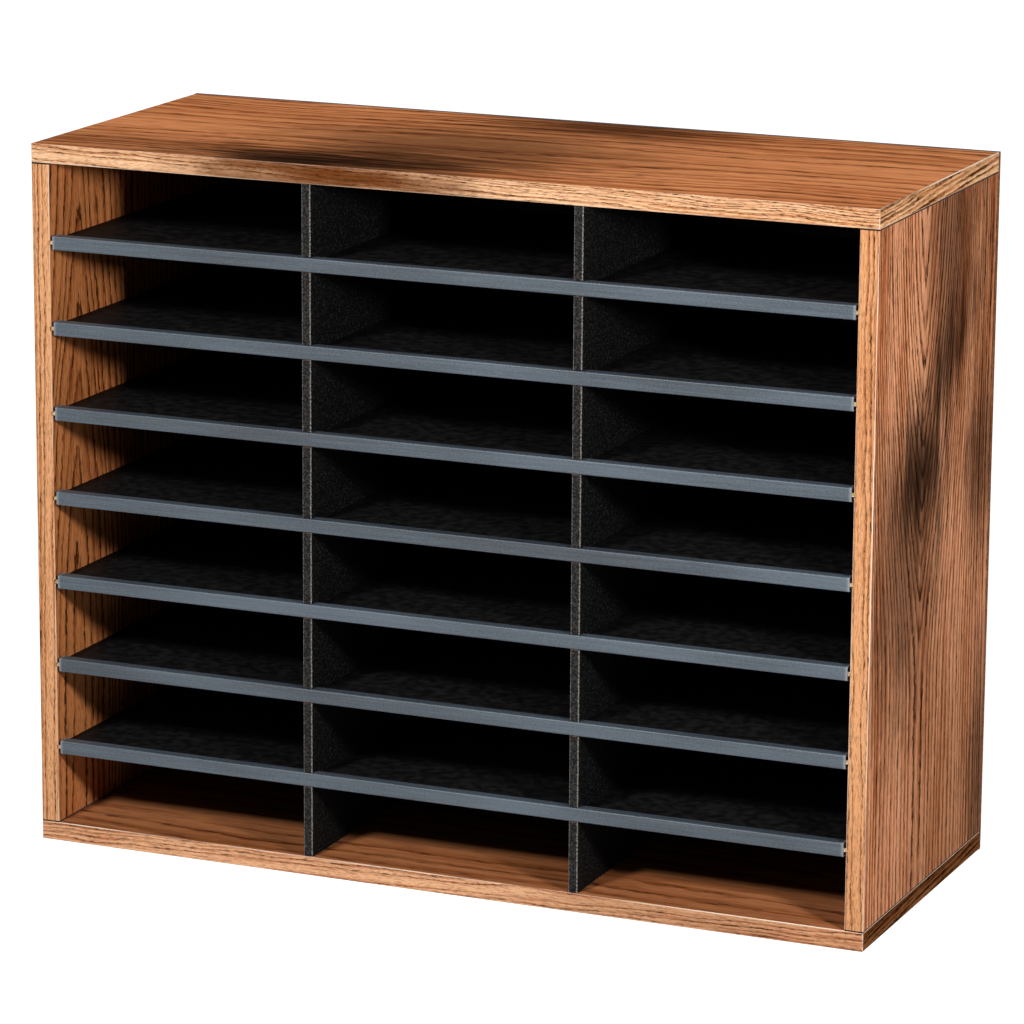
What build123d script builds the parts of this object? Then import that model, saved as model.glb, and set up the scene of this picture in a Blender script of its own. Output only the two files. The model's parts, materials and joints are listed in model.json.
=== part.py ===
from build123d import *
import os

# Overall size of the cabinet: front towards -Y, right towards +X, standing on Z = 0
cabinet_width = 736.6
cabinet_depth = 301.6
cabinet_height = 596.9

# Boards: laminated carcass board, hardboard back and shelves, fibreboard dividers
carcass_board = 15.9
back_board = 4.8
shelf_board = 3.2
divider_board = 8.0

# Compartments: columns between the dividers, rows between the shelves
column_count = 3
shelf_count = 7

# Edge bands on the front edges and on the ends of the top and the bottom
band_thickness = 1.0
band_arris = 0.8

# Shelf moulding: a hollow channel that grips the front edge of a shelf between two lips
moulding_height = 11.6
moulding_depth = 9.5
moulding_wall = 1.4
moulding_nose = 1.2
moulding_rib = 1.0
moulding_rib_reach = 2.0
moulding_setback = 0.5
moulding_end_gap = 2.4

# Shallow kerfs in the side panels for the shelf ends, grooves in the top and bottom for the dividers
kerf_depth = 1.2
groove_depth = 3.0
divider_arris = 1.2

# Clearances: sliding shelf, moulding in its notch, and glued or stapled fits
slide_clearance = 0.3
notch_clearance = 0.6
fit_clearance = 0.1

# Dowels in the four corner joints, seated in the top and bottom panels
dowel_diameter = 8.0
dowel_length = 30.0
dowel_seat = 10.0
dowel_inset = 45.0
dowels_per_joint = 3

# Wire staples through the back into the rear edges of the boards
staple_crown = 6.4
staple_leg = 16.0
staple_wire = 1.0
staple_wire_width = 1.2
staple_point = 1.5
staple_inset = 30.0
staples_across = 5
staples_up = 4

# Planes of the carcass
half_width = cabinet_width / 2
front = -cabinet_depth / 2
rear = cabinet_depth / 2
core_front = front + band_thickness
core_rear = rear - back_board
inner_half = half_width - carcass_board
floor = carcass_board
ceiling = cabinet_height - carcass_board
middle = cabinet_height / 2

# Rows: every compartment has the same mouth between mouldings
mouth_height = (ceiling - floor - shelf_count * moulding_height) / (shelf_count + 1)
row_pitch = mouth_height + moulding_height
shelf_levels = [ceiling + moulding_height / 2 - row * row_pitch for row in range(1, shelf_count + 1)]

# Columns: every compartment has the same width between dividers
column_width = (2 * inner_half - (column_count - 1) * divider_board) / column_count
column_pitch = column_width + divider_board
divider_places = [column * column_pitch - inner_half - divider_board / 2 for column in range(1, column_count)]

# Shelf: front edge inside the moulding, half lap with the dividers at mid-depth
moulding_front = front + moulding_setback
moulding_rear = moulding_front + moulding_depth
shelf_front = moulding_front + moulding_wall
shelf_rear = core_rear - slide_clearance
shelf_reach = inner_half + kerf_depth - slide_clearance
lap = (shelf_front + shelf_rear) / 2
kerf_half = shelf_board / 2 + slide_clearance
notch_half = moulding_height / 2 + notch_clearance


def spread(low, high, count):
    """Evenly spaced places from low to high."""
    step = (high - low) / (count - 1)
    return [low + index * step for index in range(count)]


def block(x_span, y_span, z_span):
    """A square board between two places along each axis."""
    spans = (x_span, y_span, z_span)
    centre = [(low + high) / 2 for low, high in spans]
    size = [high - low for low, high in spans]
    return Pos(*centre) * Box(*size)


def flip_up(shape):
    """The same piece at the top of the cabinet."""
    return mirror(shape, about=Plane.XY.offset(middle))


def flip_right(shape):
    """The same piece at the right of the cabinet."""
    return mirror(shape, about=Plane.YZ)


# Dowels: one row in each corner joint, on the middle of the side panel's edge
edge_centre = half_width - carcass_board / 2
dowel_places = spread(core_front + dowel_inset, core_rear - dowel_inset, dowels_per_joint)


def dowels(gap):
    """The dowels of all four joints, or with a gap the bores that take them."""
    form = Cylinder(dowel_diameter / 2 + gap, dowel_length + 2 * gap)
    level = floor - dowel_seat + dowel_length / 2
    left = [Pos(-edge_centre, y, level) * form for y in dowel_places]
    bottom = left + [flip_right(dowel) for dowel in left]
    return bottom + [flip_up(dowel) for dowel in bottom]


# Staples: places on the rear face of the back, lying along the edge of the board behind it
staple_columns = spread(staple_inset - half_width, half_width - staple_inset, staples_across)
staple_levels = spread(floor + staple_inset, ceiling - staple_inset, staples_up)


def staple_row(z):
    """Places of the staples along the top or the bottom."""
    return [Pos(x, rear, z) for x in staple_columns]


def staple_column(x):
    """Places of the staples up a side or a divider."""
    return [Pos(x, rear, z) * Rot(0, 90, 0) for z in staple_levels]


staples_in_bottom = staple_row(floor / 2)
staples_in_top = staple_row(cabinet_height - floor / 2)
staples_in_left = staple_column(-edge_centre)
staples_in_right = staple_column(edge_centre)
staples_in_dividers = [staple_column(x) for x in divider_places]
staple_places = staples_in_bottom + staples_in_top + staples_in_left + staples_in_right
staple_places += sum(staples_in_dividers, [])


def staple(gap):
    """A staple driven flush, its legs cut to points, or with a gap the hole that it makes."""
    outer = staple_crown / 2 + gap
    inner = staple_crown / 2 - staple_wire - gap
    seat = -staple_wire - gap
    tip = -staple_leg - 2 * gap
    outline = Polyline(
        (-outer, 0),
        (outer, 0),
        (outer, tip),
        (inner, tip + staple_point),
        (inner, seat),
        (-inner, seat),
        (-inner, tip + staple_point),
        (-outer, tip),
        close=True,
    )
    return extrude(make_face(outline), staple_wire_width / 2 + gap, both=True)


def staples(places, gap):
    """One staple form at each place on the back's rear face."""
    form = staple(gap)
    return [place * form for place in places]


def bottom_board():
    """Bottom board between its bands, grooved on its upper face for the dividers."""
    end = half_width - band_thickness
    board = block((-end, end), (core_front, core_rear), (0, floor))
    groove_half = divider_board / 2 + fit_clearance
    for x in divider_places:
        groove_span = (x - groove_half, x + groove_half)
        board -= block(groove_span, (core_front, core_rear), (floor - groove_depth, ceiling))
    return board


def bottom_panel():
    """Bottom panel with its dowel bores and staple holes."""
    return bottom_board() - dowels(fit_clearance) - staples(staples_in_bottom, fit_clearance)


def top_panel():
    """Top panel: the same board turned over, with its own bores and holes."""
    return flip_up(bottom_board()) - dowels(fit_clearance) - staples(staples_in_top, fit_clearance)


def kerfs():
    """Saw kerfs that take the left ends of the shelves, open at the front."""
    cut_span = (-inner_half - kerf_depth, -inner_half)
    return [block(cut_span, (front, core_rear), (z - kerf_half, z + kerf_half)) for z in shelf_levels]


def left_side_panel():
    """Left side panel standing on the bottom, kerfed inside for the shelves."""
    board = block((-half_width, -inner_half), (core_front, core_rear), (floor, ceiling))
    return board - kerfs() - dowels(fit_clearance) - staples(staples_in_left, fit_clearance)


def back_panel():
    """Back laid over the rear edges of the carcass, pierced for every staple."""
    board = block((-half_width, half_width), (core_rear, rear), (0, cabinet_height))
    return board - staples(staple_places, fit_clearance)


# Band arrises are eased, but never deeper than the band itself
arris = min(band_arris, 0.9 * band_thickness)


def bottom_front_band():
    """Band over the whole front edge of the bottom, eased on all four sides."""
    band = block((-half_width, half_width), (front, core_front), (0, floor))
    return fillet(band.faces().sort_by(Axis.Y)[0].edges(), arris)


def bottom_left_end_band():
    """Band on the left end of the bottom, eased along its length."""
    band = block((-half_width, band_thickness - half_width), (core_front, core_rear), (0, floor))
    return fillet(band.faces().sort_by(Axis.X)[0].edges().filter_by(Axis.Y), arris)


def left_side_front_band():
    """Band on the front edge of the left side panel, eased along its length and kerfed with it."""
    band = block((-half_width, -inner_half), (front, core_front), (floor, ceiling))
    return fillet(band.faces().sort_by(Axis.Y)[0].edges().filter_by(Axis.Z), arris) - kerfs()


def divider(x, staples_in_edge):
    """Full-height divider, slotted from the front for every shelf and its moulding."""
    thickness = (x - divider_board / 2, x + divider_board / 2)
    foot = floor - groove_depth + fit_clearance
    board = block(thickness, (core_front, core_rear), (foot, cabinet_height - foot))
    board = fillet(board.faces().sort_by(Axis.Y)[0].edges().filter_by(Axis.Z), divider_arris)
    for z in shelf_levels:
        board -= block(thickness, (front, lap + slide_clearance), (z - kerf_half, z + kerf_half))
        board -= block(thickness, (front, moulding_rear + notch_clearance), (z - notch_half, z + notch_half))
    return board - staples(staples_in_edge, fit_clearance)


def shelf(z):
    """Shelf across the cabinet, slotted from the rear where it laps the dividers."""
    outline = Pos(0, lap) * Rectangle(2 * shelf_reach, shelf_rear - shelf_front)
    slot_front = lap - slide_clearance
    slot = Rectangle(divider_board + 2 * slide_clearance, shelf_rear - slot_front)
    for x in divider_places:
        outline -= Pos(x, (slot_front + shelf_rear) / 2) * slot
    return Pos(0, 0, z - shelf_board / 2) * extrude(outline, shelf_board)


def moulding_section():
    """Section of the moulding in Y and Z: rounded nose, hollow, two lips and two ribs round the shelf."""
    nose = Rectangle(moulding_depth, moulding_height)
    nose = fillet(nose.vertices().group_by(Axis.X)[0], moulding_nose)
    hollow = Rectangle(moulding_depth - 2 * moulding_wall, moulding_height - 2 * moulding_wall)
    rib_centre = moulding_wall + (moulding_rib_reach - moulding_depth) / 2
    ribs = Pos(rib_centre, 0) * Rectangle(moulding_rib_reach, shelf_board + 2 * moulding_rib)
    grip = Pos(moulding_wall, 0) * Rectangle(moulding_depth, shelf_board)
    return Plane.YZ * (nose - hollow + ribs - grip)


def moulding(z):
    """Moulding on the front edge of one shelf, cut short of the side panels."""
    length = 2 * (inner_half - moulding_end_gap)
    place = Pos(-length / 2, (moulding_front + moulding_rear) / 2, z)
    return place * extrude(moulding_section(), length, dir=(1, 0, 0))


# Pieces by name: the left and the bottom first, then their twins
pieces = {
    "bottom_panel": bottom_panel(),
    "bottom_front_band": bottom_front_band(),
    "bottom_left_end_band": bottom_left_end_band(),
    "left_side_panel": left_side_panel(),
    "left_side_front_band": left_side_front_band(),
    "top_panel": top_panel(),
    "back_panel": back_panel(),
    "carcass_dowels": Compound(children=dowels(0)),
    "back_staples": Compound(children=staples(staple_places, 0)),
}
for name in ("side_panel", "side_front_band"):
    pieces["right_" + name] = flip_right(pieces["left_" + name])
pieces["bottom_right_end_band"] = flip_right(pieces["bottom_left_end_band"])
for name in ("front_band", "left_end_band", "right_end_band"):
    pieces["top_" + name] = flip_up(pieces["bottom_" + name])
for number, place in enumerate(divider_places):
    pieces[f"divider_{number + 1}"] = divider(place, staples_in_dividers[number])
for number, level in enumerate(shelf_levels, 1):
    pieces[f"shelf_{number}"] = shelf(level)
    pieces[f"shelf_{number}_moulding"] = moulding(level)

os.makedirs("parts", exist_ok=True)
for name, piece in pieces.items():
    export_step(piece, os.path.join("parts", name + ".step"))
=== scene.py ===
import json
import math

import bpy
from mathutils import Matrix, Vector


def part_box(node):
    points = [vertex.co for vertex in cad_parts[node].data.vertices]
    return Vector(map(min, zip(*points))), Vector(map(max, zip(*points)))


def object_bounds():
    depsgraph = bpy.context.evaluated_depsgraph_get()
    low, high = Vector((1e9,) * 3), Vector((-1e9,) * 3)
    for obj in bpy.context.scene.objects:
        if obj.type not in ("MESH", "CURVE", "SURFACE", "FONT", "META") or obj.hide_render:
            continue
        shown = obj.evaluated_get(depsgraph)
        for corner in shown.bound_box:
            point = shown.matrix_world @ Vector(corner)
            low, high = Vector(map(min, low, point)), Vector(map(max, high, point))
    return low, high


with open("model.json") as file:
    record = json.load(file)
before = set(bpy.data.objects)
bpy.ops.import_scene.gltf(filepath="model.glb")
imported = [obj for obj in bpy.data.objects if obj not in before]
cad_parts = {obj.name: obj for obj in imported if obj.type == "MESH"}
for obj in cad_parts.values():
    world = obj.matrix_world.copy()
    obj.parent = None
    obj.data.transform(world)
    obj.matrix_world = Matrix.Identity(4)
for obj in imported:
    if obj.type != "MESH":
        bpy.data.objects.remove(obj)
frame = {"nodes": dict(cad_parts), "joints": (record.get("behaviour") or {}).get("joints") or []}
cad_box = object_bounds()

# Dowels: turned beech pins, three in each of the four corner joints.
# They are glued into bores of the bottom and the top, and the sides are pushed on to them,
# so that nothing of them shows once the carcass is closed.
MM = 0.001
SHARE, UNDER, OVER, BLENDED = 0, 6, 7, 2  # sockets of a blend of two colours


def linear(code):
    """A hex colour in sRGB as the linear colour that a shader takes."""
    shares = [int(code[place:place + 2], 16) / 255 for place in (1, 3, 5)]
    light = [share / 12.92 if share <= 0.04045 else ((share + 0.055) / 1.055) ** 2.4 for share in shares]
    return light + [1.0]


def fill(node, inputs):
    """Sets inputs of a node, by name or in order, to a value, a hex colour or another node's output."""
    for name, value in inputs.items() if isinstance(inputs, dict) else enumerate(inputs):
        if isinstance(value, bpy.types.NodeSocket):
            node.id_data.links.new(value, node.inputs[name])
        else:
            node.inputs[name].default_value = linear(value) if isinstance(value, str) else value


def add(tree, kind, inputs=(), out=0, **settings):
    """Adds a node with its settings and inputs, and gives back one of its outputs."""
    node = tree.nodes.new("ShaderNode" + kind)
    for name, value in settings.items():
        setattr(node, name, value)
    fill(node, inputs)
    return node.outputs[out]


def new_finish(name):
    """A new material: itself, its nodes, its shader, and the place of each point of a piece at rest."""
    finish = bpy.data.materials.new(name)
    finish.use_nodes = True
    tree = finish.node_tree
    return finish, tree, tree.nodes["Principled BSDF"], add(tree, "TexCoord", out="Object")


def dress(finish, *names):
    """Gives a finish to pieces of the frame."""
    for name in names:
        mesh = frame["nodes"][name].data
        mesh.materials.clear()
        mesh.materials.append(finish)


def cloud(tree, place, size, out="Fac", detail=3.0):
    """Soft patches that have the given size along X, Y and Z, in millimetres."""
    scale = [1 / (length * MM) for length in size]
    drawn = add(tree, "Mapping", {"Vector": place, "Scale": scale})
    return add(tree, "TexNoise", {"Vector": drawn, "Scale": 1.0, "Detail": detail}, out)


def fades(tree, *limits):
    """Smooth fades, multiplied together.

    Each holds a value, its low and high limits, and the strengths there, which are 0 and 1 if not given."""
    parts = [add(tree, "MapRange", limit, interpolation_type="SMOOTHSTEP") for limit in limits]
    strength = parts[0]
    for part in parts[1:]:
        strength = add(tree, "Math", [strength, part], operation="MULTIPLY")
    return strength


def lay_over(tree, colour, *coats):
    """Lays further colours over the first one, each as strongly as its share says."""
    for share, coat in coats:
        colour = add(tree, "Mix", {SHARE: share, UNDER: colour, OVER: coat}, BLENDED, data_type="RGBA")
    return colour


def turned_beech():
    """Turned beech: pale straw with short darker flecks along the pin."""
    finish, tree, shader, place = new_finish("turned_beech")
    fleck = cloud(tree, place, (1, 1, 8))
    colour = lay_over(tree, "#DDBF92", (fades(tree, (fleck, 0.4, 0.65)), "#B98F5E"))
    rough = fades(tree, (fleck, 0.3, 0.7, 0.5, 0.65))
    fill(shader, {"Base Color": colour, "Roughness": rough, "IOR": 1.5})
    return finish


dress(turned_beech(), "carcass_dowels")

# Top, bottom and side panels: particleboard pressed between two sheets of printed oak laminate.
# The top and the bottom run over the sides, and glued dowels hold the four corner joints.
# The cut edges stay raw and are covered by the edge bands and the back.
X, Y, Z = 0, 1, 2
BOARD_FACE = 0.5  # a facet that faces an axis by more than this is a face of the board
top_low, top_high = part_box("top_panel")
side_low, side_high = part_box("right_side_panel")
top_face = top_high.z / MM
side_face = side_high.x / MM


def facing(tree, axis, least):
    """1 on the facets that face along an axis, 0 on those that turn further away from it."""
    normal = add(tree, "NewGeometry", out="True Normal")
    share = add(tree, "SeparateXYZ", [normal], axis)
    size = add(tree, "Math", [share], operation="ABSOLUTE")
    return add(tree, "Math", [size, least], operation="GREATER_THAN")


def grain_size(along, length, width):
    """The size of a patch drawn out along the grain."""
    size = [width, width, width]
    size[along] = length
    return size


def oak_grain(tree, place, along, through, heart, turn, ring, spread, line, pore, pits, solid, wave, crown):
    """Lines of dark late wood and open pores along a board, closing into pointed arches over the crown.

    The lines lie one ring apart at the spread from the heart line, wider inside it and closer outside.
    The heart is a point of that line, and the turn its lean in degrees. All lengths are in millimetres.
    The pits say how dark a pore is, and solid says how dark a line stays between its pores.
    The wave holds the length, the width and the swing of the grain's sway.
    The crown holds where the arches start and end along the grain, their depth and their reach aside.
    The print's lines and pores are drawn a few times coarser than in real oak, so that they show."""
    wave_length, wave_width, swing = wave
    crown_start, crown_end, crown_depth, crown_reach = crown
    wide = line / ring
    pore_length = 5 * pore

    # The grain sways. Each point is measured sideways from the heart line, and the arches' tips are blunt.
    tip = 0.05
    sway = cloud(tree, place, grain_size(along, wave_length, wave_width), "Color", 1.0)
    bent = add(tree, "VectorMath", [sway, [swing * MM] * 3, place], operation="MULTIPLY_ADD")
    lean = [math.radians(angle) for angle in turn]
    laid = {"Vector": bent, "Location": Vector(heart) * MM, "Rotation": lean, "Scale": [spread * MM] * 3}
    across = add(tree, "Mapping", laid, vector_type="TEXTURE")
    aside = add(tree, "SeparateXYZ", [across], X + Y + Z - along - through)
    aside = add(tree, "CombineXYZ", [aside, tip])
    aside = add(tree, "VectorMath", [aside], "Value", operation="LENGTH")

    # Along the crown the lines near the heart line draw in and close over it.
    level = add(tree, "SeparateXYZ", [place], along)
    opened = fades(tree, (level, crown_start * MM, crown_end * MM, 0.0, crown_depth / spread))
    near = add(tree, "MapRange", [aside, 0.0, crown_reach / spread, 1.0, 0.0])
    drawn_in = add(tree, "Math", [opened, near], operation="MULTIPLY")
    radius = add(tree, "Math", [aside, crown_depth / spread], operation="ADD")
    radius = add(tree, "Math", [radius, drawn_in], operation="SUBTRACT")

    # Rings are counted outwards, and their gap falls with the root of the distance.
    # Their width drifts over a few rings, and their edges fray at the pores.
    gap = add(tree, "Math", [radius, -0.5], operation="POWER")
    count = add(tree, "Math", [radius, gap], operation="DIVIDE")
    count = add(tree, "Math", [count, spread / (1.5 * ring)], operation="MULTIPLY")
    drift_rate, drift, fray = 0.23, 2.0, 0.55
    uneven = add(tree, "TexNoise", {"W": count, "Scale": drift_rate, "Detail": 1.0}, noise_dimensions="1D")
    count = add(tree, "Math", [uneven, drift, count], operation="MULTIPLY_ADD")
    ragged = cloud(tree, place, grain_size(along, pore_length, pore), detail=2.0)
    count = add(tree, "Math", [ragged, fray, count], operation="MULTIPLY_ADD")
    phase = add(tree, "Math", [count], operation="FRACT")
    number = add(tree, "Math", [count], operation="FLOOR")
    chance = add(tree, "TexWhiteNoise", {"W": number}, "Value", noise_dimensions="1D")

    # Late wood is a dark line at the start of each ring, of one width all over the board.
    # Some rings are weaker, some stretches are pale, and pores break the line.
    crowded = add(tree, "Math", [opened, spread / crown_reach, 1.0], operation="MULTIPLY_ADD")
    past = add(tree, "Math", [phase, gap], operation="MULTIPLY")
    past = add(tree, "Math", [past, crowded], operation="DIVIDE")
    stretch = cloud(tree, place, grain_size(along, 30 * pore, 4 * pore))
    dash = cloud(tree, place, grain_size(along, pore_length, 0.7 * pore), detail=2.0)
    open_pore = fades(tree, (dash, 0.52, 0.60))
    weakest_ring, palest_stretch = 0.45, 0.25
    late = fades(
        tree,
        (past, 0.0, 0.3 * wide),
        (past, 0.9 * wide, 1.4 * wide, 1.0, 0.0),
        (chance, 0.0, 0.9, weakest_ring, 1.0),
        (stretch, 0.34, 0.54, palest_stretch, 1.0),
        (open_pore, 0.0, 1.0, solid, 1.0),
    )
    dark = add(tree, "Math", [open_pore, pits, late], operation="MULTIPLY_ADD", use_clamp=True)

    # Early wood follows the line and fades out before the next ring.
    early = fades(tree, (past, wide, 1.6 * wide), (phase, 0.6, 1.0, 1.0, 0.0))
    return dark, early


def oak_tone(tree, place, along, pore, early):
    """Slow changes of tone along the grain, fine streaks in them, and paler early wood beside each line."""
    slow_share, streak_share, early_share = 0.6, 0.8, -0.22
    slow = cloud(tree, place, grain_size(along, 300, 30), detail=1.0)
    streak = cloud(tree, place, grain_size(along, 40 * pore, 1.2 * pore))
    tone = add(tree, "Math", [slow, slow_share], operation="MULTIPLY")
    tone = add(tree, "Math", [streak, streak_share, tone], operation="MULTIPLY_ADD")
    tone = add(tree, "Math", [early, early_share, tone], operation="MULTIPLY_ADD")
    return fades(tree, (tone, 0.36, 0.92))


def painted_shadow_patches(tree, place, along, colour, shadow_colour, streaks):
    """Dark patches of painted shadow laid over a colour, frayed along the grain.

    Each has a centre in millimetres, a lean about X in degrees, a reach along X, Y and Z, and a depth."""
    fray_share = 0.9
    fray = cloud(tree, place, grain_size(along, 60, 7))
    for centre, lean, reach, depth in streaks:
        spot = {"Vector": place, "Location": Vector(centre) * MM, "Rotation": (math.radians(lean), 0, 0),
                "Scale": Vector(reach) * MM}
        away = add(tree, "Mapping", spot, vector_type="TEXTURE")
        far = add(tree, "VectorMath", [away], "Value", operation="LENGTH")
        far = add(tree, "Math", [fray, fray_share, far], operation="MULTIPLY_ADD")
        colour = lay_over(tree, colour, (fades(tree, (far, 0.55, 1.45, depth, 0.0)), shadow_colour))
    return colour


def joint_shade(tree, place):
    """The dark line where an upright meets the top and the bottom."""
    solid, soft = 0.7 * MM, 1.4 * MM
    level = add(tree, "SeparateXYZ", [place], Z)
    under = fades(tree, (level, side_high.z - soft, side_high.z - solid))
    over = fades(tree, (level, side_low.z + solid, side_low.z + soft, 1.0, 0.0))
    return add(tree, "Math", [under, over], operation="MAXIMUM")


def oak_laminate(name, along, through, tones, depth, streaks, **grain):
    """Oak-print laminate with a dead-matt finish: warm brown with dark open grain and no sheen.

    Its raw edges show the pressed chips of the core."""
    finish, tree, shader, place = new_finish(name)
    light, deep, dark = tones
    lines, early = oak_grain(tree, place, along, through, **grain)
    tone = oak_tone(tree, place, along, grain["pore"], early)
    lined = add(tree, "Math", [lines, depth], operation="MULTIPLY")
    colour = lay_over(tree, light, (tone, deep), (lined, dark))
    # Dark patches of painted shadow go over the print.
    colour = painted_shadow_patches(tree, place, along, colour, "#1A0F0A", streaks)
    if along == Z:
        colour = lay_over(tree, colour, (joint_shade(tree, place), "#4A4040"))
    chip_width = 2.5 * MM
    chips = add(tree, "TexVoronoi", {"Vector": place, "Scale": 1 / chip_width}, "Color")
    chip = add(tree, "SeparateXYZ", [chips], X)
    raw = lay_over(tree, "#8E6C48", (chip, "#C7A77C"))
    colour = lay_over(tree, raw, (facing(tree, through, BOARD_FACE), colour))
    height = add(tree, "Math", [1.0, lines], operation="SUBTRACT")
    bump = add(tree, "Bump", {"Strength": 0.25, "Distance": 0.15 * MM, "Height": height})
    rough = fades(tree, (lines, 0.0, 1.0, 0.46, 0.60))
    fill(shader, {"Base Color": colour, "Roughness": rough, "IOR": 1.5, "Specular IOR Level": 0.0,
                  "Normal": bump})
    return finish


# Patches of painted shadow on the right side, the darker rear among them.
right_painted_shadows = [
    ((side_face, 30, 448), 40, (90, 125, 60), 0.76),
    ((side_face, -30, 368), 8, (90, 105, 85), 0.90),
    ((side_face, -75, 288), 0, (90, 160, 205), 0.68),
    ((side_face, 115, 345), 0, (90, 62, 115), 0.70),
    ((side_face, 30, 545), 0, (90, 105, 190), 0.60),
    ((side_face, 40, 90), 0, (90, 260, 240), 0.24),
    ((side_face, 145, 60), 0, (90, 60, 180), 0.65),
]
right_grain = {
    "heart": (side_face, -24, 300), "turn": (1.0, 0, 0), "ring": 13.5, "spread": 100, "line": 2.3,
    "pore": 1.7, "pits": 0.28, "solid": 0.8, "wave": (420, 90, 14), "crown": (180, 660, 190, 150),
}
side_depth = 0.97
side_tones = ("#EAA57B", "#AB6239", "#140904")
dress(oak_laminate("oak_laminate_right_side", Z, X, side_tones, side_depth, right_painted_shadows, **right_grain),
      "right_side_panel")
left_grain = {
    "heart": (-side_face, -96, 300), "turn": (-1.0, 0, 0), "ring": 13.0, "spread": 100, "line": 2.1,
    "pore": 1.7, "pits": 0.30, "solid": 0.85, "wave": (220, 60, 22), "crown": (620, 120, 100, 120),
}
wall_tones = ("#D0844F", "#9A5228", "#1C0B04")
dress(oak_laminate("oak_laminate_left_side", Z, X, wall_tones, side_depth, [], **left_grain),
      "left_side_panel")
# Patches of painted shadow on the top.
top_painted_shadows = [
    ((-132, -135, top_face), 0, (190, 82, 60), 0.93),
    ((-62, -112, top_face), 0, (190, 105, 60), 0.70),
    ((-320, -110, top_face), 0, (160, 80, 60), 0.35),
    ((-45, -15, top_face), 0, (260, 165, 60), 0.64),
    ((42, 125, top_face), 0, (200, 80, 60), 0.74),
]
no_crown = (0, 1, 0, 1)  # straight grain without arches
top_grain = {
    "heart": (0, 30, top_face), "turn": (0, 0, 1.5), "ring": 15.0, "spread": 100, "line": 4.5,
    "pore": 5.0, "pits": 0.26, "solid": 0.5, "wave": (300, 90, 60), "crown": no_crown,
}
flat_depth = 0.76
top_tones = ("#D88D5B", "#AF6338", "#2C1308")
dress(oak_laminate("oak_laminate_top", X, Z, top_tones, flat_depth, top_painted_shadows, **top_grain), "top_panel")
bottom_grain = dict(top_grain, heart=(0, -40, 0), turn=(0, 0, -1.5))
bottom_tones = ("#AF7048", "#8C4F2B", "#26110A")
dress(oak_laminate("oak_laminate_bottom", X, Z, bottom_tones, flat_depth, [], **bottom_grain),
      "bottom_panel")

# Edge bands: strips of oak-print foil on a pale core, ironed on to the raw edges of the panels.
# The front edges carry one each, and so do the ends of the top and the bottom.
# Trimming eases both long arrises and lays the pale core bare there, painted bright as a highlight along
# them.
BAND_FACE = 0.96  # a facet that faces out by more than this is the flat, the rest are eased arrises
BAND_DEPTH = 0.9


def oak_band(name, along, face, tones, streaks, **grain):
    """Dead-matt edge-band foil: light oak print on the face, bare cream core on the trimmed arrises,
    painted bright as a highlight there too.
    """
    finish, tree, shader, place = new_finish(name)
    light, deep, dark = tones
    lines, early = oak_grain(tree, place, along, face, **grain)
    tone = oak_tone(tree, place, along, grain["pore"], early)
    colour = lay_over(tree, light, (tone, deep))
    # Dark patches of painted shadow go over the print.
    colour = painted_shadow_patches(tree, place, along, colour, "#65330F", streaks)
    lined = add(tree, "Math", [lines, BAND_DEPTH], operation="MULTIPLY")
    colour = lay_over(tree, colour, (lined, dark))
    # The bare core on the arrises is painted bright, and stands for a highlight along them too.
    bared_core_and_highlight = cloud(tree, place, grain_size(along, 240, 20))
    core = lay_over(tree, colour, (fades(tree, (bared_core_and_highlight, 0.38, 0.62, 0.12, 0.95)), "#EBD6C2"))
    colour = lay_over(tree, core, (facing(tree, face, BAND_FACE), colour))
    if along == Z:
        colour = lay_over(tree, colour, (joint_shade(tree, place), "#231D1B"))
    rough = fades(tree, (lines, 0.0, 1.0, 0.46, 0.60))
    fill(shader, {"Base Color": colour, "Roughness": rough, "IOR": 1.5, "Specular IOR Level": 0.0})
    return finish


front_face = cad_box[0][Y] / MM
band_lean = 1.5
band_grain = {
    "ring": 3.4, "spread": 8, "line": 1.0, "pore": 1.0, "pits": 0.38, "solid": 0.5, "wave": (80, 18, 9),
    "crown": no_crown,
}
# The streaks of the bands are patches of painted shadow.
front_bands = {
    "top": {
        "along": X, "tones": ("#F0C096", "#C08052", "#3A1B0C"),
        "streaks": [((-105, front_face, top_face - 8), 0, (190, 40, 40), 0.97)],
        "heart": (0, front_face, top_low.z / MM + 2), "turn": (0, band_lean, 0),
    },
    "bottom": {
        "along": X, "tones": ("#EEB68B", "#B8734B", "#3A1B0C"),
        "streaks": [((230, front_face, 8), 0, (260, 30, 30), 0.38)],
        "heart": (0, front_face, 12), "turn": (0, -band_lean, 0),
    },
    "left_side": {
        "along": Z, "tones": ("#E1A576", "#B4703F", "#2C1408"), "streaks": [],
        "heart": (12 - side_face, front_face, 0), "turn": (0, 0.5 * band_lean, 0),
    },
    "right_side": {
        "along": Z, "tones": ("#D69B6D", "#AC6B40", "#2C1408"), "streaks": [],
        "heart": (side_face - 2, front_face, 0), "turn": (0, -0.5 * band_lean, 0),
    },
}
for panel, foil in front_bands.items():
    dress(oak_band(f"oak_band_{panel}_front", face=Y, **foil, **band_grain), f"{panel}_front_band")
end_grain = dict(band_grain, ring=5.5, line=2.0, pore=1.8, solid=0.95, wave=(160, 20, 8))
end_tones = {"top": ("#FFCB9A", "#C67F4C", "#120704"), "bottom": ("#96603A", "#6E3F20", "#1E0E06")}
for side in ("left", "right"):
    for level, tones in end_tones.items():
        low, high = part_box(f"{level}_{side}_end_band")
        heart = (high.x / MM, 0, low.z / MM - 3)
        foil = oak_band(f"oak_band_{level}_{side}_end", Y, X, tones, [], heart=heart,
                        turn=(2 * band_lean, 0, 0), **end_grain)
        dress(foil, f"{level}_{side}_end_band")

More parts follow.
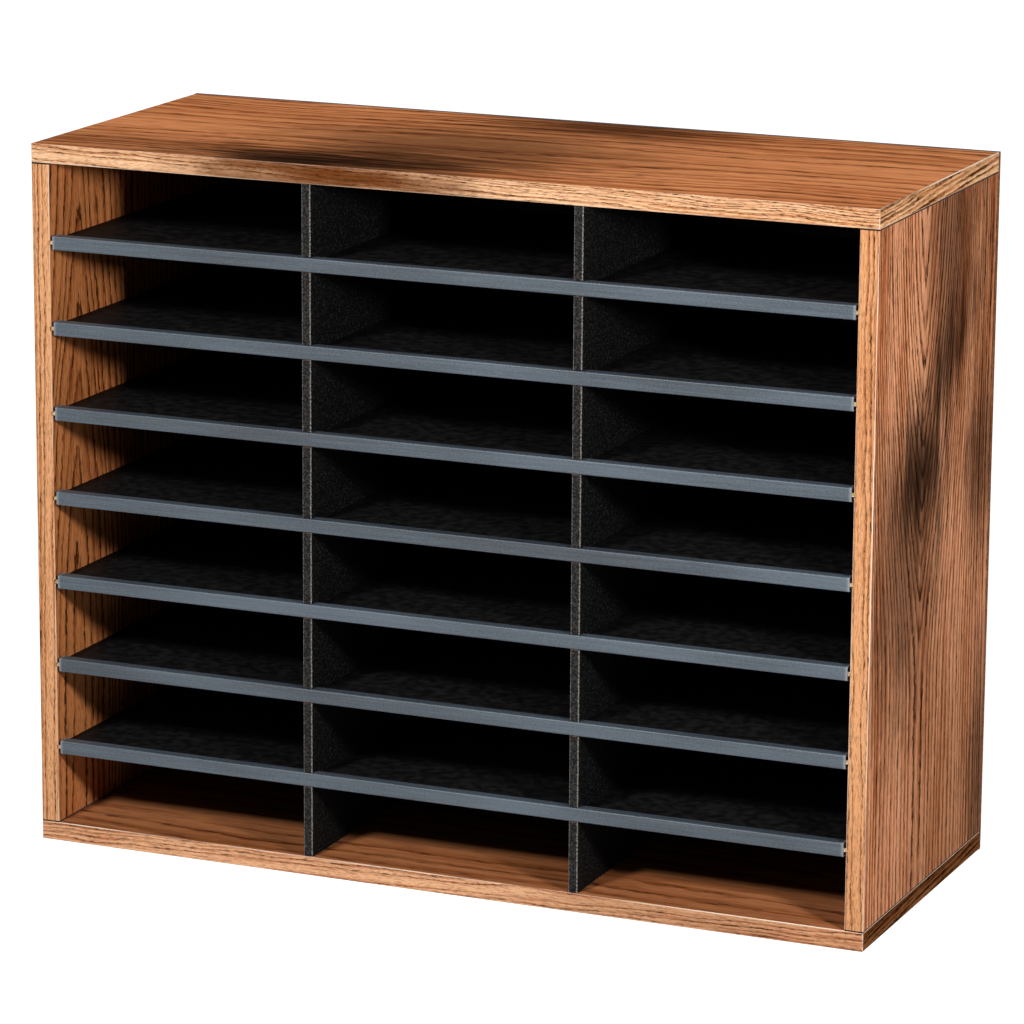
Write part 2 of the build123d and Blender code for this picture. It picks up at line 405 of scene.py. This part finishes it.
# Dividers: two fibreboard uprights, sprayed dark grey, standing in grooves of the top and the bottom.
# They are slotted from the front for the shelves, and the saw leaves raw fibre in the slots.
DIVIDER_FACE = 0.97  # a facet that faces an axis by more than this is a flat, the rest are rounded arrises


def sprayed_fibreboard():
    """Dark spray paint on fibreboard: a fine pebbled speckle, thin and paler on the front arrises, with a
    painted highlight there.

    The speckle is drawn a few times coarser than real spray, so that it shows."""
    finish, tree, shader, place = new_finish("sprayed_fibreboard")
    speckle = cloud(tree, place, (1.8, 1.8, 1.8))
    thin = fades(tree, (speckle, 0.35, 0.65))
    side = lay_over(tree, "#070707", (fades(tree, (speckle, 0.50, 0.70)), "#242527"))
    edge = lay_over(tree, "#0B0B0B", (fades(tree, (speckle, 0.42, 0.62)), "#343231"))
    # The front arrises are paler where the paint is thin, and painted lighter still as a highlight.
    arris = lay_over(tree, "#403D3A", (thin, "#8A837C"))
    raw = lay_over(tree, "#6B4A36", (thin, "#B98D70"))
    colour = lay_over(
        tree, arris,
        (facing(tree, Y, DIVIDER_FACE), edge),
        (facing(tree, X, DIVIDER_FACE), side),
        (facing(tree, Z, BOARD_FACE), raw),
    )
    bump = add(tree, "Bump", {"Strength": 0.3, "Distance": 0.1 * MM, "Height": speckle})
    rough = fades(tree, (speckle, 0.3, 0.7, 0.55, 0.75))
    fill(shader, {"Base Color": colour, "Roughness": rough, "IOR": 1.5, "Specular IOR Level": 0.1,
                  "Normal": bump})
    return finish


dress(sprayed_fibreboard(), "divider_1", "divider_2")

# Back: one sheet of black-lacquered hardboard, laid over the rear edges and stapled.
# Its faces keep a faint mesh of the press screen, and its sawn edges are rough.


def back_hardboard():
    """Lacquered hardboard: near-black fibre with a dull sheen and a faint woven-screen emboss.

    The sawn sides are bare brown fibre, and the upper and lower edges are dead matt, with a lighter slate
    painted on as a reflection."""
    finish, tree, shader, place = new_finish("lacquered_hardboard_back")
    screen_mesh, emboss, sawn_rough = 2.2 * MM, 0.4, 0.95
    fibre = cloud(tree, place, (6, 6, 2.5), detail=6.0)
    fibrous = fades(tree, (fibre, 0.35, 0.7))
    sawn = lay_over(tree, "#6E432A", (fibrous, "#9A6644"))
    colour = lay_over(
        tree, "#14171A",
        (fibrous, "#2A3036"),
        (facing(tree, X, BOARD_FACE), sawn),
        # The lighter slate on the upper and lower edges is a painted reflection.
        (facing(tree, Z, BOARD_FACE), "#3C4852"),
    )
    face = facing(tree, Y, BOARD_FACE)
    pressed = add(tree, "Math", [face, emboss], operation="MULTIPLY")
    mesh = add(tree, "TexVoronoi", {"Vector": place, "Scale": 1 / screen_mesh, "Randomness": 0.15})
    bump = add(tree, "Bump", {"Strength": pressed, "Distance": 0.2 * MM, "Height": mesh})
    smooth = fades(tree, (fibre, 0.2, 0.8, 0.45, 0.65))
    rough = fades(tree, (face, 0.0, 1.0, sawn_rough, 0.0))
    rough = add(tree, "Math", [rough, smooth], operation="MAXIMUM")
    fill(shader, {"Base Color": colour, "Roughness": rough, "IOR": 1.5, "Specular IOR Level": 0.1,
                  "Normal": bump})
    return finish


dress(back_hardboard(), "back_panel")

# Staples: galvanised steel wire, bent square and cut to points.
# They are driven flush through the back into the rear edges of the boards and the dividers.


def galvanised_wire():
    """Galvanised wire: a dull zinc grey with soft mottling."""
    finish, tree, shader, place = new_finish("galvanised_wire")
    mottle = cloud(tree, place, (2, 2, 2))
    colour = lay_over(tree, "#8E9194", (fades(tree, (mottle, 0.35, 0.65)), "#BEC1C4"))
    rough = fades(tree, (mottle, 0.3, 0.7, 0.35, 0.55))
    fill(shader, {"Base Color": colour, "Metallic": 1.0, "Roughness": rough})
    return finish


dress(galvanised_wire(), "back_staples")

# Shelves: seven sheets of black-faced hardboard, each slid into saw kerfs of the sides.
# They lap the dividers in half-depth slots, and their sawn edges show the pale core.


def black_hardboard():
    """Black-faced hardboard: a dull near-black face, and tan pressed fibre on the sawn edges."""
    finish, tree, shader, place = new_finish("black_faced_hardboard")
    fibre = cloud(tree, place, (9, 9, 1.2), detail=6.0)
    face = lay_over(tree, "#0B0B0C", (fades(tree, (fibre, 0.35, 0.7)), "#1B1A1A"))
    core = lay_over(tree, "#B9966B", (fades(tree, (fibre, 0.3, 0.7)), "#E2C9A0"))
    colour = lay_over(tree, core, (facing(tree, Z, BOARD_FACE), face))
    rough = fades(tree, (fibre, 0.2, 0.8, 0.50, 0.68))
    fill(shader, {"Base Color": colour, "Roughness": rough, "IOR": 1.5, "Specular IOR Level": 0.1})
    return finish


shelf_numbers = range(1, len(frame["joints"]) + 1)
dress(black_hardboard(), *[f"shelf_{number}" for number in shelf_numbers])

# Shelf mouldings: charcoal plastic channels, extruded in one length and cut short of the sides.
# Two lips and two ribs grip the front edge of each shelf, and a rounded nose faces the user.
moulding_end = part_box("shelf_1_moulding")[1].x


def extruded_plastic():
    """Satin extruded plastic: slate grey with faint draw lines along it, and a paler painted highlight at
    the cut ends.

    The draw lines and the grit are drawn coarser than real ones, so that they show."""
    finish, tree, shader, place = new_finish("charcoal_extruded_plastic")
    draw_share, broad_share, grit_share = 0.5, 0.6, 0.4
    draw = cloud(tree, place, (60, 0.7, 0.7))
    broad = cloud(tree, place, (170, 60, 60), detail=1.0)
    grit = cloud(tree, place, (1.5, 1.5, 1.5), detail=2.0)
    tone = add(tree, "Math", [broad, broad_share], operation="MULTIPLY")
    tone = add(tree, "Math", [draw, draw_share, tone], operation="MULTIPLY_ADD")
    tone = add(tree, "Math", [grit, grit_share, tone], operation="MULTIPLY_ADD")
    along = add(tree, "SeparateXYZ", [place], X)
    away = add(tree, "Math", [along], operation="ABSOLUTE")
    # Painted highlight: the last three millimetres of each cut end turn paler.
    painted_end_highlight = fades(tree, (away, moulding_end - 3 * MM, moulding_end, 0.0, 0.5))
    colour = lay_over(tree, "#293037", (fades(tree, (tone, 0.50, 1.00)), "#525D67"), (painted_end_highlight, "#9AA0A6"))
    rough = fades(tree, (draw, 0.3, 0.7, 0.40, 0.52))
    bump = add(tree, "Bump", {"Strength": 0.1, "Distance": 0.05 * MM, "Height": draw})
    fill(shader, {"Base Color": colour, "Roughness": rough, "IOR": 1.53, "Normal": bump})
    return finish


dress(extruded_plastic(), *[f"shelf_{number}_moulding" for number in shelf_numbers])

# Floor: a wide white studio sheet that the organizer stands on.
# Near the organizer it glows less than white, so that its soft shadow stays.
floor_reach = 14.0
shadow_reach, white_reach, shadow_glow = 0.6, 2.4, 0.78


def looked_at(tree):
    """1 for what the eye sees, straight, in a gloss or through a clear piece, 0 for what only lights."""
    path = add(tree, "LightPath").node.outputs
    seen = add(tree, "Math", [path["Is Camera Ray"], path["Is Glossy Ray"]], operation="MAXIMUM")
    return add(tree, "Math", [seen, path["Is Transmission Ray"]], operation="MAXIMUM")


def white_studio_sheet():
    """Matt white studio sheet: a faint, even weave, and a glow of its own for the eye only."""
    finish, tree, shader, place = new_finish("white_studio_sheet")
    away = add(tree, "VectorMath", [place], "Value", operation="LENGTH")
    bright = fades(tree, (away, shadow_reach, white_reach, shadow_glow, 1.0))
    glow = add(tree, "Math", [looked_at(tree), bright], operation="MULTIPLY")
    sheet = lay_over(tree, "#BFBFBF", (cloud(tree, place, (40, 40, 40)), "#C4C4C4"))
    fill(shader, {"Base Color": sheet, "Roughness": 0.9, "Emission Color": "#FFFFFF",
                  "Emission Strength": glow})
    return finish


floor_mesh = bpy.data.meshes.new("studio_floor")
corners = [(x * floor_reach, y * floor_reach, 0) for x, y in ((-1, -1), (1, -1), (1, 1), (-1, 1))]
floor_mesh.from_pydata(corners, [], [(0, 1, 2, 3)])
floor = bpy.data.objects.new("studio_floor", floor_mesh)
bpy.context.collection.objects.link(floor)
floor_mesh.materials.append(white_studio_sheet())

# Light: a small soft box low on the right rakes into the compartments, one in front lights the face,
# and a large one overhead fills the top and the rear.
# The white studio around is there for the eye, and lights the organizer only faintly.
target = Vector((0, 0, 300 * MM))
studio_glow = 0.05


def soft_box(name, turn, rise, away, size, power):
    """A square soft box, turned right of the front and raised above level, aimed at the organizer."""
    lamp = bpy.data.lights.new(name, "AREA")
    lamp.size = size
    lamp.energy = power
    box = bpy.data.objects.new(name, lamp)
    bpy.context.collection.objects.link(box)
    level = math.cos(math.radians(rise))
    turned = math.radians(turn)
    towards = Vector((math.sin(turned) * level, -math.cos(turned) * level, math.sin(math.radians(rise))))
    box.location = target + towards * away
    box.rotation_euler = towards.to_track_quat("Z", "Y").to_euler()


soft_box("right_soft_box", turn=56.3, rise=17.1, away=1.735, size=0.16, power=19)
soft_box("front_soft_box", turn=-15, rise=32, away=2.8, size=0.35, power=52)
soft_box("overhead_soft_box", turn=180, rise=80, away=2.2, size=0.9, power=16)
world = bpy.data.worlds.new("studio")
bpy.context.scene.world = world
world.use_nodes = True
strength = add(world.node_tree, "MapRange", [looked_at(world.node_tree), 0.0, 1.0, studio_glow, 1.0])
fill(world.node_tree.nodes["Background"], {"Color": "#FFFFFF", "Strength": strength})

# Camera: a long lens set above the organizer and to its right.
# It stands far enough away that the uprights keep nearly parallel.
view_turn = math.radians(23.192)
view_rise = math.radians(13.544)
view_roll = math.radians(0.348)
view_away = 4080.7 * MM
view_aim = Vector((-0.8, 0, 289.0)) * MM
image_width = 1024
lens_pixels = 4886.1
back = Vector((math.sin(view_turn) * math.cos(view_rise), -math.cos(view_turn) * math.cos(view_rise),
               math.sin(view_rise)))
camera_data = bpy.data.cameras.new("camera")
camera_data.sensor_width = 36
camera_data.lens = lens_pixels / image_width * camera_data.sensor_width
camera = bpy.data.objects.new("camera", camera_data)
bpy.context.collection.objects.link(camera)
camera.matrix_world = (Matrix.Translation(view_aim + back * view_away)
                       @ back.to_track_quat("Z", "Y").to_matrix().to_4x4()
                       @ Matrix.Rotation(view_roll, 4, "Z"))
bpy.context.scene.camera = camera
bpy.context.scene.view_settings.view_transform = "Standard"
